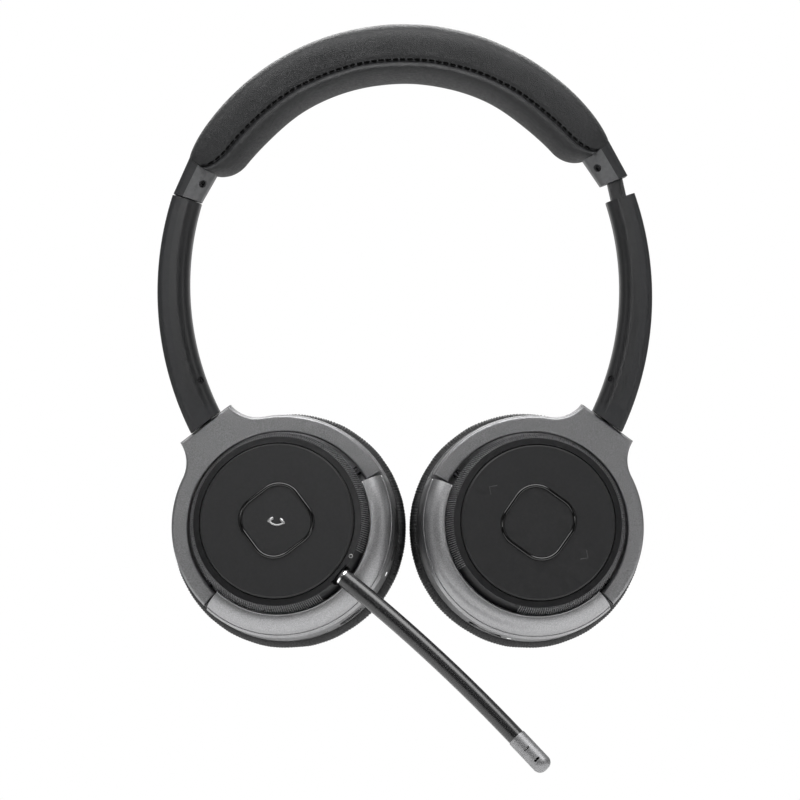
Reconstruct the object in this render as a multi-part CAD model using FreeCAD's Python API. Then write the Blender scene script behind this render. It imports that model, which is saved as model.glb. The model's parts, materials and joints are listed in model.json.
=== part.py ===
import FreeCAD, Part
import math
import os

# Office headset: padded headband, two sliding arms, two swivelling yokes, two tilting
# on-ear cups, and a microphone boom that swings on the left cup's knurled ring.
# Millimetres and degrees. +Z is up, the ear side faces +Y, the left side is -X.
# The origin is the middle of the pad's underside, where the head touches it.
# Every side part is drawn once on the left; the right side is its mirror image.

# Headband pad: a crescent between two circles, each centred under the origin.
PAD_INNER_RADIUS = 66.0
PAD_OUTER_RADIUS = 82.8
PAD_THICKNESS = 20.0
PAD_END_ANGLE = 59.8          # from the vertical, where the pad meets the collar
PAD_ROUND_ANGLE = 52.0        # from here the end rounds in towards the collar
PAD_WIDTH_TOP = 34.0
PAD_WIDTH_END = 23.0
PAD_DRAW_IN = (1.3, 6.6, 4.5)  # how far the rounded end shrinks: outer side, underside, width
PAD_STATIONS = (12.0, 24.0, 36.0, 45.0, 52.0, 55.5, 57.8, 59.2)
FOAM_END_ANGLE = 57.8
PAD_SKIN = 1.2
PAD_RADII = (6.5, 8.5)        # corner radius on the outer and the inner side
BAND_RADIUS = 74.8
BAND_CENTRE_DROP = 64.0
BAND_THICKNESS = 0.8
BAND_WIDTH = 12.0
BAND_END_ANGLE = 63.5

# Collars at the pad's ends, and the rails that the arms slide on.
COLLAR_TOP_RADIUS = 76.8
COLLAR_TOP_SIZE = (10.6, 18.0)
COLLAR_END_SIZE = (9.6, 16.6)
COLLAR_TOP_RADII = (2.0, 4.0)
COLLAR_STRIP = 3.4            # thickness of the collar's outer strip
RAIL_SIZE = (5.0, 10.0)
RAIL_LENGTH = 30.0            # in the arm when the arm is closed
RAIL_ROOT = 5.0               # inside the collar
RAIL_ANGLE = 13.5             # from the vertical
RAIL_INSET = 0.45             # towards the inside, at the arm's mouth
SLIDE_GAP = 0.1
EXTENSION = {"left": 0.0, "right": 5.5}
TOE_IN = {"left": 0.0, "right": 3.2}

# Arms: arcs about a centre across the head's middle plane.
ARM_CENTRE = (22.8, -70.6)
ARM_RADIUS = 101.2
ARM_TOP_ANGLE = 19.6          # above the horizontal
ARM_END_ANGLE = -27.0
ARM_THICKNESS = (9.9, 12.0)
ARM_WIDTH = (16.6, 15.4)
ARM_SEAM_RADIUS = 102.6
ARM_COVER_END_ANGLE = -21.0
ARM_RADII = (1.8, 4.2)
ARM_COLLAR_GAP = 0.45

# Screws on the inner sides: distance in from the arm's middle line, angle, and half spread.
COLLAR_SCREWS = (3.0, 23.4, 7.3)
ARM_SCREWS = (3.8, -16.5, 6.2)
SCREW_RADIUS = 1.35
SCREW_LENGTH = 2.5
SCREW_HEAD = 0.7
SCREW_GROOVE = 0.4             # width and depth of the cross recess
SCREW_HOLE = 4.0               # how far the hole over a head is cut, out past the surface
SCREW_LEAN = 38.5             # from the front or the back towards the inside

# Yokes: a C-shaped ring about the cup, with a shoulder on the swivel axis.
YOKE_CENTRE = (-44.2, -148.9)
HANGER_ANGLE = 35.0           # from the vertical, the swivel axis
SHOULDER_REACH = 43.95
SHOULDER_HALF = 10.5
SHOULDER_FILLET = 12.0
SHOULDER_BACK = -6.4
YOKE_INNER = 32.2
YOKE_OUTER = 38.0
YOKE_BACK = -2.4
YOKE_FRONT = 5.6
YOKE_END_ANGLE = -7.5         # the ring runs from here to 180 minus this
YOKE_EDGE = 0.9
PIN_RADIUS = 1.5
SHAFT_RADIUS = 2.5
SHAFT_REACH = 7.4             # into the arm
BORE_DEPTH = 8.0
RUNNING_GAP = 0.05
SWIVEL_SHORT = {"left": 1.2, "right": 2.0}    # short of lying flat
TILT = {"left": 12.7, "right": 11.2}          # the face leans to the hanger

# Cups, in their own frame: Y to the hanger, Z out of the face, tilt axis along X.
FACE_Z = 15.0
FACE_RADIUS = 26.3
FACE_THICKNESS = 1.6
HUB_RADIUS = 24.0
HUB_BORE = 21.5
HUB_TOP = 13.3
DECK_Z = 7.6
DECK_THICKNESS = 1.6
LIP_RADIUS = 31.3
LIP_Z = 9.6
BOWL_RADIUS = 37.6
BOWL_Z = 5.2
RIM_RADIUS = 38.5
RIM_TOP = 3.0
RIM_WALL = 2.0
CUP_BACK = -6.0
WALL = 1.7
RECESS_RADIUS = 29.6
RECESS_FLOOR = -4.6
FLOOR_THICKNESS = 1.4
RECESS_END_ANGLE = -11.0
RECESS_MARGIN = 3.0           # how far the recess's floor and walls run past its ends
RING_OUTER = 30.6
RING_SMOOTH = 28.7
RING_FLOAT = 0.3              # above the deck
RING_FOOT = 0.6               # the straight edge below the cone
BAFFLE_RADIUS = 37.6
BAFFLE_THICKNESS = 2.0
DRIVER_RADIUS = 19.0
DRIVER_DEPTH = 8.0
CUSHION_RADIUS = 39.9
CUSHION_HOLE = 17.0
MESH_RADIUS = 19.2
MESH_THICKNESS = 0.5
CUSHION_BACK = -20.6

# Buttons, keys and ports.
BUTTON_HALF = 10.6
BUTTON_CORNER = 7.2
BUTTON_THICKNESS = 2.4
BEZEL_WIDTH = 0.7
BEZEL_PROUD = 0.25
BUTTON_GAP = 0.12
KEY_PROUD = 0.5
KEY_DEPTH = 3.0
KEY_HEIGHT = 2.6
KEY_CROWN = 0.9
KEYS_LEFT = {"volume_key_left": (-34.0, 9.0), "power_key_left": (-51.0, 5.0)}
KEYS_RIGHT = {"mute_key_right": (-101.0, 12.0)}
KEY_Z = -2.4
USB_ANGLE = -90.0
USB_SIZE = (9.0, 3.3)
USB_DEPTH = 7.0
USB_WALL = 0.3
LED_ANGLE = {"left": -62.0, "right": -114.0}
LED_RADIUS = 0.8

# Boom, in the left cup's frame.
BOOM_ANGLE = -77.3
BOOM_LEAN = 1.7                # from straight out of the ring, towards the right
BOOM_Z = 13.4
BOOM_RADIUS = 3.0
BOOM_START = 28.7
SOCKET_LENGTH = 1.4
SOCKET_CHAMFER = 0.8
NOTCH_MARGIN = 0.9
BOOM_LENGTH = 79.8            # from the socket to the tip
BOOM_CURVE = 600.0
TIP_RADIUS = 3.25
TIP_LENGTH = 14.5
TIP_WALL = 0.7
MIC_SLOT = (0.7, 2.2)
MIC_PLACES = (5.4, 10.3)       # along the tip

os.makedirs("parts", exist_ok=True)


def vec(x, y, z):
    return FreeCAD.Vector(x, y, z)


def sin(degrees):
    return math.sin(math.radians(degrees))


def cos(degrees):
    return math.cos(math.radians(degrees))


# Shapes that several parts use


def cylinder(radius, low, high):
    return Part.makeCylinder(radius, high - low, vec(0, 0, low))


def tube(inner, outer, low, high):
    return cylinder(outer, low, high).cut(cylinder(inner, low - 1, high + 1))


def block(size_x, size_y, low, high):
    """A box centred on the Z axis."""
    return Part.makeBox(size_x, size_y, high - low, vec(-size_x / 2, -size_y / 2, low))


def turned(outline):
    """A solid of revolution about Z from (radius, z) points, where a triple is an arc's middle."""
    edges = []
    start = None
    middle = None
    for point in list(outline) + [outline[0]]:
        here = vec(point[0], 0, point[1])
        if len(point) == 3:
            middle = here
            continue
        if start is not None and middle is not None:
            edges.append(Part.Arc(start, middle, here).toShape())
        elif start is not None:
            edges.append(Part.makeLine(start, here))
        start = here
        middle = None
    return Part.Face(Part.Wire(edges)).revolve(vec(0, 0, 0), vec(0, 0, 1), 360)


def sector(inner, outer, low, high, start_angle, end_angle):
    """Part of a tube, from start_angle to end_angle about Z."""
    corners = [vec(inner, 0, low), vec(outer, 0, low), vec(outer, 0, high), vec(inner, 0, high)]
    face = Part.Face(Part.makePolygon(corners + corners[:1]))
    face.rotate(vec(0, 0, 0), vec(0, 0, 1), start_angle)
    return face.revolve(vec(0, 0, 0), vec(0, 0, 1), end_angle - start_angle)


def rounded_wire(origin, side, thickness, width, radii):
    """A rounded rectangle in the plane of side and Y; radii are those on side's + and - ends."""
    across = vec(0, 1, 0)
    arcs = []
    for quarter in range(4):
        sign_t = 1 if quarter in (0, 3) else -1
        sign_w = 1 if quarter in (0, 1) else -1
        radius = radii[0] if sign_t > 0 else radii[1]
        centre = origin + side * (sign_t * (thickness / 2 - radius))
        centre = centre + across * (sign_w * (width / 2 - radius))
        points = []
        for step in range(3):
            angle = 90 * quarter + 45 * step
            points.append(centre + side * (radius * cos(angle)) + across * (radius * sin(angle)))
        arcs.append(points)
    edges = []
    for quarter in range(4):
        edges.append(Part.Arc(*arcs[quarter]).toShape())
        edges.append(Part.makeLine(arcs[quarter][2], arcs[(quarter + 1) % 4][0]))
    return Part.Wire(edges)


def rounded_square(half, corner, low, high):
    """A square with round corners, centred on the Z axis."""
    solid = block(2 * half, 2 * half, low, high)
    upright = [e for e in solid.Edges if abs(e.tangentAt(e.FirstParameter).z) > 0.9]
    return solid.makeFillet(corner, upright)


def obround(length, height, low, high):
    """A slot shape, long in X, centred on the Z axis."""
    solid = block(length - height, height, low, high)
    for s in (-1, 1):
        end = cylinder(height / 2, low, high)
        end.translate(vec(s * (length - height) / 2, 0, 0))
        solid = solid.fuse(end)
    return solid.removeSplitter()


# Frames


def hanger_placement(swivel=0.0, tilt=0.0):
    """Carries the cup's frame to the left side; with no swivel and no tilt it lies flat."""
    x_axis = vec(cos(HANGER_ANGLE), 0, sin(HANGER_ANGLE))
    y_axis = vec(-sin(HANGER_ANGLE), 0, cos(HANGER_ANGLE))
    turn = FreeCAD.Rotation(x_axis, y_axis, vec(0, -1, 0), "XYZ")
    turn = turn * FreeCAD.Rotation(vec(0, 1, 0), -swivel)
    turn = turn * FreeCAD.Rotation(vec(1, 0, 0), -tilt)
    return FreeCAD.Placement(vec(YOKE_CENTRE[0], 0, YOKE_CENTRE[1]), turn)


def moved(shape, placement):
    copy = shape.copy()
    copy.Placement = placement.multiply(copy.Placement)
    return copy


def on_side(shape, side, toe_in=True):
    """A left-hand shape where it belongs on a side: the right one is mirrored and toed in."""
    if side == "left":
        return shape
    mirrored = shape.mirror(vec(0, 0, 0), vec(1, 0, 0))
    if toe_in:
        mirrored.rotate(vec(-ARM_CENTRE[0], 0, ARM_CENTRE[1]), vec(0, 1, 0), TOE_IN[side])
    return mirrored


def save(node, shape):
    solids = shape.Solids
    if len(solids) == 1:
        shape = solids[0]
    shape.exportStep("parts/%s.step" % node)
    print("%-24s solids %d  volume %9.1f  valid %s" % (node, len(solids), shape.Volume, shape.isValid()))


# Headband


def pad_station(angle, inset):
    """The pad's cross-section at an angle from the vertical, inset from the surface."""
    past = max(0.0, abs(angle) - PAD_ROUND_ANGLE) / (PAD_END_ANGLE - PAD_ROUND_ANGLE)
    rounding = 1 - math.sqrt(max(0.0, 1 - min(1.0, past) ** 2))
    inner = vec(PAD_INNER_RADIUS * sin(angle), 0, PAD_INNER_RADIUS * (cos(angle) - 1))
    outer_drop = PAD_THICKNESS - PAD_OUTER_RADIUS
    outer = vec(PAD_OUTER_RADIUS * sin(angle), 0, outer_drop + PAD_OUTER_RADIUS * cos(angle))
    side = (outer - inner).normalize()
    outer = outer - side * (PAD_DRAW_IN[0] * rounding + inset)
    inner = inner + side * (PAD_DRAW_IN[1] * rounding + inset)
    share = abs(angle) / PAD_END_ANGLE
    width = PAD_WIDTH_TOP - (PAD_WIDTH_TOP - PAD_WIDTH_END) * share ** 2
    width = width - PAD_DRAW_IN[2] * rounding - 2 * inset
    thickness = (outer - inner).Length
    radii = [min(r - inset, thickness / 2 - 0.4) for r in PAD_RADII]
    return rounded_wire((inner + outer) * 0.5, side, thickness, width, radii)


def pad_solid(inset, end_angle):
    half = [a for a in PAD_STATIONS if a < end_angle - 0.5]
    half = half + [end_angle]
    angles = [-a for a in reversed(half)] + [0.0] + half
    return Part.makeLoft([pad_station(a, inset) for a in angles], True, False)


def spring_band():
    low = vec(0, 0, -BAND_CENTRE_DROP)
    corners = []
    for radius, y in ((0, -1), (1, -1), (1, 1), (0, 1)):
        corners.append(vec(0, y * BAND_WIDTH / 2, BAND_RADIUS + radius * BAND_THICKNESS - BAND_CENTRE_DROP))
    face = Part.Face(Part.makePolygon(corners + corners[:1]))
    face.rotate(low, vec(0, 1, 0), -BAND_END_ANGLE)
    return face.revolve(low, vec(0, 1, 0), 2 * BAND_END_ANGLE)


def slanted(angle, thickness, width, point, radii):
    """A cross-section whose normal is angle from the vertical; side points outwards."""
    return rounded_wire(point, vec(-cos(angle), 0, sin(angle)), thickness, width, radii)


def arm_point(radius, angle):
    return vec(ARM_CENTRE[0] - radius * cos(angle), 0, ARM_CENTRE[1] + radius * sin(angle))


def collar_solid():
    top_angle = 90 - PAD_END_ANGLE
    top = vec(-COLLAR_TOP_RADIUS * sin(PAD_END_ANGLE), 0,
              COLLAR_TOP_RADIUS * cos(PAD_END_ANGLE) - BAND_CENTRE_DROP)
    up = vec(sin(ARM_TOP_ANGLE), 0, cos(ARM_TOP_ANGLE))
    end = arm_point(ARM_RADIUS, ARM_TOP_ANGLE) + up * ARM_COLLAR_GAP
    wires = [
        slanted(top_angle, COLLAR_TOP_SIZE[0], COLLAR_TOP_SIZE[1], top, COLLAR_TOP_RADII),
        slanted(ARM_TOP_ANGLE, COLLAR_END_SIZE[0], COLLAR_END_SIZE[1], end, ARM_RADII),
    ]
    return Part.makeLoft(wires, True, True)


def collar_strip_region():
    """A slab that takes in the collar's outer side."""
    top = vec(-COLLAR_TOP_RADIUS * sin(PAD_END_ANGLE), 0,
              COLLAR_TOP_RADIUS * cos(PAD_END_ANGLE) - BAND_CENTRE_DROP)
    end = arm_point(ARM_RADIUS, ARM_TOP_ANGLE)
    angle = math.degrees(math.atan2(top.x - end.x, top.z - end.z))
    slab = block(20, 40, -30, 30)
    slab.rotate(vec(0, 0, 0), vec(0, 1, 0), angle)
    reach = 10 + COLLAR_END_SIZE[0] / 2 - COLLAR_STRIP + 0.2
    slab.translate((top + end) * 0.5 + vec(-cos(angle), 0, sin(angle)) * reach)
    return slab


def rail_frame():
    """Carries a rail drawn up Z to the arm's mouth, in the left arm's own frame."""
    mouth = arm_point(ARM_RADIUS - RAIL_INSET, ARM_TOP_ANGLE)
    return FreeCAD.Placement(mouth, FreeCAD.Rotation(vec(0, 1, 0), RAIL_ANGLE))


def slider_rail(side):
    rail = block(RAIL_SIZE[0], RAIL_SIZE[1], -RAIL_LENGTH, RAIL_ROOT)
    for s in (-1, 1):
        groove = block(0.8, 1.2, -RAIL_LENGTH - 1, RAIL_ROOT + 1)
        groove.translate(vec(-0.9, s * RAIL_SIZE[1] / 2, 0))
        rail = rail.cut(groove)
    rail.translate(vec(0, 0, EXTENSION[side]))
    return moved(rail, rail_frame())


def screw_frame(point, outward):
    """Z leaves the surface along outward."""
    return FreeCAD.Placement(point, FreeCAD.Rotation(vec(0, 0, 1), outward))


def headed_pin(top):
    """A head that goes from SCREW_HEAD below z = 0 up to top, on a thinner shank."""
    shank = cylinder(SCREW_RADIUS * 0.55, -SCREW_LENGTH, 0.1 - SCREW_HEAD)
    return cylinder(SCREW_RADIUS, -SCREW_HEAD, top).fuse(shank)


def screw():
    """A screw with a cross recess, its head's top at z = 0."""
    reach = SCREW_RADIUS * 1.2
    cross = block(reach, SCREW_GROOVE, -SCREW_GROOVE, 0.1)
    cross = cross.fuse(block(SCREW_GROOVE, reach, -SCREW_GROOVE, 0.1))
    return headed_pin(0).cut(cross)


def inner_pair(solid, inset, angle, half_spread):
    """A solid at the front and again at the back, on the inner side of an arm or a collar."""
    inward = vec(cos(angle), 0, -sin(angle))
    copies = []
    for s in (-1, 1):
        point = arm_point(ARM_RADIUS - inset, angle) + vec(0, s * half_spread, 0)
        outward = inward * sin(SCREW_LEAN) + vec(0, s * cos(SCREW_LEAN), 0)
        copies.append(moved(solid, screw_frame(point, outward)))
    return Part.makeCompound(copies)


def arm_solid():
    """The whole arm, cut square to the swivel axis at its lower end."""
    wires = []
    steps = 6
    for step in range(steps + 1):
        share = step / steps
        angle = ARM_TOP_ANGLE + (ARM_END_ANGLE - ARM_TOP_ANGLE) * share
        thickness = ARM_THICKNESS[0] + (ARM_THICKNESS[1] - ARM_THICKNESS[0]) * share
        width = ARM_WIDTH[0] + (ARM_WIDTH[1] - ARM_WIDTH[0]) * share
        wires.append(slanted(angle, thickness, width, arm_point(ARM_RADIUS, angle), ARM_RADII))
    below = block(80, 60, -40, 40)
    below.translate(vec(0, SHOULDER_REACH + RUNNING_GAP * 6 - 30, 0))
    return Part.makeLoft(wires, True, False).cut(moved(below, hanger_placement()))


def arm_cover_region():
    """The inner side of the arm, down to a curved seam above the yoke."""
    corners = [arm_point(ARM_SEAM_RADIUS - 20, 30), arm_point(ARM_SEAM_RADIUS, 30)]
    seam_top = arm_point(ARM_SEAM_RADIUS, 4)
    seam_end = arm_point(ARM_SEAM_RADIUS, ARM_COVER_END_ANGLE + 2)
    curl = arm_point(ARM_SEAM_RADIUS - 2.2, ARM_COVER_END_ANGLE + 0.2)
    inner_end = arm_point(ARM_SEAM_RADIUS - 9, ARM_COVER_END_ANGLE - 0.6)
    far_end = arm_point(ARM_SEAM_RADIUS - 20, ARM_COVER_END_ANGLE - 0.6)
    edges = [
        Part.makeLine(corners[0], corners[1]),
        Part.Arc(corners[1], seam_top, seam_end).toShape(),
        Part.Arc(seam_end, curl, inner_end).toShape(),
        Part.makeLine(inner_end, far_end),
        Part.makeLine(far_end, corners[0]),
    ]
    face = Part.Face(Part.Wire(edges))
    face.translate(vec(0, -20, 0))
    return face.extrude(vec(0, 40, 0))


def headband_parts():
    band = spring_band()
    foam = pad_solid(PAD_SKIN, FOAM_END_ANGLE)
    cover = pad_solid(0.0, PAD_END_ANGLE).cut(foam).cut(band)
    parts = {"headband_foam": foam.cut(band), "spring_band": band}
    for side in ("left", "right"):
        rail = on_side(slider_rail(side), side)
        collar = on_side(collar_solid(), side, toe_in=False)
        cover = cover.cut(collar)
        collar = collar.cut(rail).cut(band)
        strip = on_side(collar_strip_region(), side, toe_in=False)
        screws = on_side(inner_pair(screw(), *COLLAR_SCREWS), side, toe_in=False)
        holes = on_side(inner_pair(headed_pin(SCREW_HOLE), *COLLAR_SCREWS), side, toe_in=False)
        parts["collar_body_" + side] = collar.cut(strip).cut(holes)
        parts["collar_strip_" + side] = collar.common(strip)
        parts["collar_screws_" + side] = screws
        parts["slider_rail_" + side] = rail
    parts["headband_cover"] = cover
    return parts


def arm_parts(side):
    arm = arm_solid()
    pocket = block(RAIL_SIZE[0] + 2 * SLIDE_GAP, RAIL_SIZE[1] + 2 * SLIDE_GAP, -RAIL_LENGTH - 0.5, 5)
    arm = arm.cut(moved(pocket, rail_frame()))
    bore = cylinder(SHAFT_RADIUS + RUNNING_GAP, SHOULDER_REACH - 1, SHOULDER_REACH + BORE_DEPTH)
    bore.rotate(vec(0, 0, 0), vec(1, 0, 0), -90)
    arm = arm.cut(moved(bore, hanger_placement()))
    screws = inner_pair(screw(), *ARM_SCREWS)
    holes = inner_pair(headed_pin(SCREW_HOLE), *ARM_SCREWS)
    region = arm_cover_region()
    parts = {
        "arm_body_" + side: arm.cut(region),
        "arm_cover_" + side: arm.common(region).cut(holes),
        "arm_screws_" + side: screws,
    }
    return {node: on_side(shape, side) for node, shape in parts.items()}


def shoulder_outline():
    """The shoulder's top edge with a concave fillet down to the ring on each side."""
    away = YOKE_OUTER + SHOULDER_FILLET
    # The fillet's centre is away from the axis, and its circle passes through the corner.
    corner_square = SHOULDER_HALF ** 2 + SHOULDER_REACH ** 2
    reach = (away ** 2 + corner_square - SHOULDER_FILLET ** 2) / 2 / math.sqrt(corner_square)
    across = math.sqrt(away ** 2 - reach ** 2)
    lean = math.degrees(math.atan2(SHOULDER_HALF, SHOULDER_REACH))
    centre = vec(reach * sin(lean) + across * cos(lean), reach * cos(lean) - across * sin(lean), 0)
    foot = centre * (YOKE_OUTER / away)
    corner = vec(SHOULDER_HALF, SHOULDER_REACH, 0)
    middle = ((foot + corner) * 0.5 - centre).normalize() * SHOULDER_FILLET + centre
    mirror = [vec(-p.x, p.y, 0) for p in (corner, middle, foot)]
    inner = vec(0, YOKE_INNER + 2, 0)
    edges = [
        Part.Arc(foot, middle, corner).toShape(),
        Part.makeLine(corner, mirror[0]),
        Part.Arc(*mirror).toShape(),
        Part.makeLine(mirror[2], vec(-foot.x, YOKE_INNER - 4, 0)),
        Part.Arc(vec(-foot.x, YOKE_INNER - 4, 0), inner, vec(foot.x, YOKE_INNER - 4, 0)).toShape(),
        Part.makeLine(vec(foot.x, YOKE_INNER - 4, 0), foot),
    ]
    return Part.Face(Part.Wire(edges))


def yoke_solid():
    ring = sector(YOKE_INNER, YOKE_OUTER, YOKE_BACK, YOKE_FRONT, YOKE_END_ANGLE, 180 - YOKE_END_ANGLE)
    face = shoulder_outline()
    face.translate(vec(0, 0, YOKE_BACK))
    shoulder = face.extrude(vec(0, 0, YOKE_FRONT - YOKE_BACK))
    shoulder = shoulder.cut(cylinder(YOKE_INNER + 1, YOKE_BACK - 1, YOKE_FRONT + 1))
    yoke = ring.fuse(shoulder).removeSplitter()
    front = [e for e in yoke.Edges if abs(e.BoundBox.ZMin - YOKE_FRONT) < 1e-6 and e.Length > 4]
    yoke = yoke.makeFillet(YOKE_EDGE, front)
    clear = RIM_RADIUS + 1.0
    back = Part.makeBox(2 * SHOULDER_HALF, SHOULDER_REACH - clear, YOKE_BACK - SHOULDER_BACK + 0.5,
                        vec(-SHOULDER_HALF, clear, SHOULDER_BACK))
    upright = [e for e in back.Edges if abs(e.tangentAt(e.FirstParameter).y) > 0.9]
    low = [e for e in upright if e.CenterOfMass.z < YOKE_BACK - 1]
    return yoke.fuse(back.makeFillet(2.0, low)).removeSplitter()


def yoke_parts(side):
    yoke = yoke_solid()
    shaft = cylinder(SHAFT_RADIUS, RIM_RADIUS + 2.0, SHOULDER_REACH + SHAFT_REACH)
    shaft.rotate(vec(0, 0, 0), vec(1, 0, 0), -90)
    pins = []
    for s in (-1, 1):
        pin = cylinder(PIN_RADIUS, RECESS_RADIUS - WALL - 1.4, YOKE_OUTER - 1.2)
        pin.rotate(vec(0, 0, 0), vec(0, 1, 0), s * 90)
        pins.append(pin)
    pins = Part.makeCompound(pins)
    parts = {
        "yoke_" + side: yoke.cut(shaft).cut(pins),
        "swivel_shaft_" + side: shaft,
        "tilt_pins_" + side: pins,
    }
    place = hanger_placement(SWIVEL_SHORT[side])
    return {node: on_side(moved(shape, place), side) for node, shape in parts.items()}


# Cups


def bowl_outline():
    """The outside of the shell, from the rim's joint up to the lip, the deck and the hub."""
    return [
        (RIM_RADIUS, RIM_TOP),
        (BOWL_RADIUS, BOWL_Z),
        (BOWL_RADIUS - 2.4, BOWL_Z + 3.1, "middle"),
        (LIP_RADIUS, LIP_Z),
        (LIP_RADIUS, DECK_Z),
        (HUB_RADIUS, DECK_Z),
        (HUB_RADIUS, HUB_TOP),
    ]


def cup_shell():
    filled = turned(bowl_outline() + [(0.001, HUB_TOP), (0.001, RIM_TOP)])
    floor_slab = sector(RECESS_RADIUS - WALL, RIM_RADIUS, RECESS_FLOOR - FLOOR_THICKNESS, RIM_TOP,
                        RECESS_END_ANGLE - RECESS_MARGIN, 180 - RECESS_END_ANGLE + RECESS_MARGIN)
    filled = filled.fuse(floor_slab)
    inner_wall = RIM_RADIUS - WALL
    cavity = turned([
        (0.001, RECESS_FLOOR - 8),
        (inner_wall, RECESS_FLOOR - 8),
        (inner_wall, RIM_TOP),
        (BOWL_RADIUS - 3.6, BOWL_Z + 0.6, "middle"),
        (LIP_RADIUS - 2.4, DECK_Z - DECK_THICKNESS),
        (HUB_BORE, DECK_Z - DECK_THICKNESS),
        (HUB_BORE, HUB_TOP + 1),
        (0.001, HUB_TOP + 1),
    ])
    ends = (RECESS_END_ANGLE, 180 - RECESS_END_ANGLE)
    recess = sector(RECESS_RADIUS, RIM_RADIUS + 6, RECESS_FLOOR, LIP_Z + 4, ends[0], ends[1])
    grown = sector(RECESS_RADIUS - WALL, RIM_RADIUS + 7, RECESS_FLOOR - FLOOR_THICKNESS, LIP_Z + 5,
                   ends[0] - RECESS_MARGIN, ends[1] + RECESS_MARGIN)
    bosses = []
    for s in (-1, 1):
        boss = cylinder(PIN_RADIUS + 1.8, RECESS_RADIUS - WALL - 2.0, RECESS_RADIUS - WALL + 0.3)
        boss.rotate(vec(0, 0, 0), vec(0, 1, 0), s * 90)
        bosses.append(boss)
    shell = filled.cut(recess).cut(cavity.cut(grown)).fuse(bosses)
    pin_hole = cylinder(PIN_RADIUS + RUNNING_GAP, -50, 50)
    pin_hole.rotate(vec(0, 0, 0), vec(0, 1, 0), 90)
    return shell.cut(pin_hole.common(tube(RECESS_RADIUS - WALL - 2.5, 60, -5, 5)))


def radial(shape, angle, radius, height):
    """Turns a shape drawn up Z so that it points outwards at an angle, X along the rim."""
    outward = vec(cos(angle), sin(angle), 0)
    turn = FreeCAD.Rotation(vec(-sin(angle), cos(angle), 0), vec(0, 0, 1), outward, "XYZ")
    return moved(shape, FreeCAD.Placement(outward * radius + vec(0, 0, height), turn))


def key_bodies(keys):
    """Side keys: a pill through the rim's wall, with a wider foot inside."""
    bodies = {}
    for node, (angle, length) in keys.items():
        cap = obround(length, KEY_HEIGHT, -KEY_DEPTH, KEY_CROWN)
        foot = block(length + 1.6, KEY_HEIGHT + 1.0, -KEY_DEPTH, -KEY_DEPTH + 0.8)
        solid = radial(cap.fuse(foot), angle, RIM_RADIUS - KEY_CROWN, KEY_Z)
        bodies[node] = solid.common(tube(HUB_RADIUS, RIM_RADIUS + KEY_PROUD, -10, 10))
    return bodies


def key_holes(keys):
    """The pills' clearance holes, a little larger all round."""
    holes = []
    for angle, length in keys.values():
        hole = obround(length + 2 * BUTTON_GAP, KEY_HEIGHT + 2 * BUTTON_GAP, -KEY_DEPTH - 1, KEY_DEPTH)
        holes.append(radial(hole, angle, RIM_RADIUS - KEY_CROWN, KEY_Z))
    return holes


def led_solid(side):
    light = cylinder(LED_RADIUS, -RIM_WALL, 0.3)
    return radial(light, LED_ANGLE[side], RIM_RADIUS - 0.25, KEY_Z)


def cup_rim(side):
    rim = tube(RIM_RADIUS - RIM_WALL, RIM_RADIUS, CUP_BACK, RIM_TOP)
    over = sector(RECESS_RADIUS - WALL - 1, RIM_RADIUS + 5, RECESS_FLOOR - FLOOR_THICKNESS, RIM_TOP + 1,
                  RECESS_END_ANGLE - RECESS_MARGIN, 180 - RECESS_END_ANGLE + RECESS_MARGIN)
    rim = rim.cut(over).cut(led_solid(side))
    keys = KEYS_LEFT if side == "left" else KEYS_RIGHT
    rim = rim.cut(key_holes(keys))
    if side == "left":
        opening = obround(USB_SIZE[0] + 2 * USB_WALL, USB_SIZE[1] + 2 * USB_WALL, -9, 5)
        rim = rim.cut(radial(opening, USB_ANGLE, RIM_RADIUS, KEY_Z))
    return rim


def usb_port():
    shell = obround(USB_SIZE[0] + 2 * USB_WALL, USB_SIZE[1] + 2 * USB_WALL, -USB_DEPTH, -0.4)
    cavity = obround(USB_SIZE[0], USB_SIZE[1], -USB_DEPTH + 0.5, 1)
    tongue = block(6.6, 0.7, -USB_DEPTH + 0.4, -1.4)
    port = shell.cut(cavity).fuse(tongue)
    return radial(port, USB_ANGLE, RIM_RADIUS, KEY_Z)


def dial_solid():
    """The ring round the hub: a smooth step beside the face, then the cone that is gripped."""
    foot = DECK_Z + RING_FLOAT
    return turned([
        (HUB_RADIUS + RUNNING_GAP, foot),
        (RING_OUTER, foot),
        (RING_OUTER, foot + RING_FOOT),
        (RING_SMOOTH, 14.0),
        (FACE_RADIUS + 0.4, 14.2),
        (FACE_RADIUS + 0.4, HUB_TOP - 0.2),
        (HUB_RADIUS + RUNNING_GAP, HUB_TOP - 0.2),
    ])


def face_disc():
    disc = turned([
        (0.001, FACE_Z - FACE_THICKNESS),
        (FACE_RADIUS, FACE_Z - FACE_THICKNESS),
        (FACE_RADIUS, FACE_Z - 0.5),
        (FACE_RADIUS - 0.5, FACE_Z),
        (0.001, FACE_Z),
    ])
    opening = rounded_square(BUTTON_HALF + BUTTON_GAP + BEZEL_WIDTH, BUTTON_CORNER + 0.6,
                             FACE_Z - 3, FACE_Z + 1)
    return disc.cut(opening)


def button_bezel():
    outer = BUTTON_HALF + BUTTON_GAP + BEZEL_WIDTH
    frame = rounded_square(outer, BUTTON_CORNER + 0.6, FACE_Z - FACE_THICKNESS, FACE_Z + BEZEL_PROUD)
    opening = rounded_square(outer - BEZEL_WIDTH, BUTTON_CORNER + 0.1, FACE_Z - 4, FACE_Z + 2)
    return frame.cut(opening)


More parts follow.
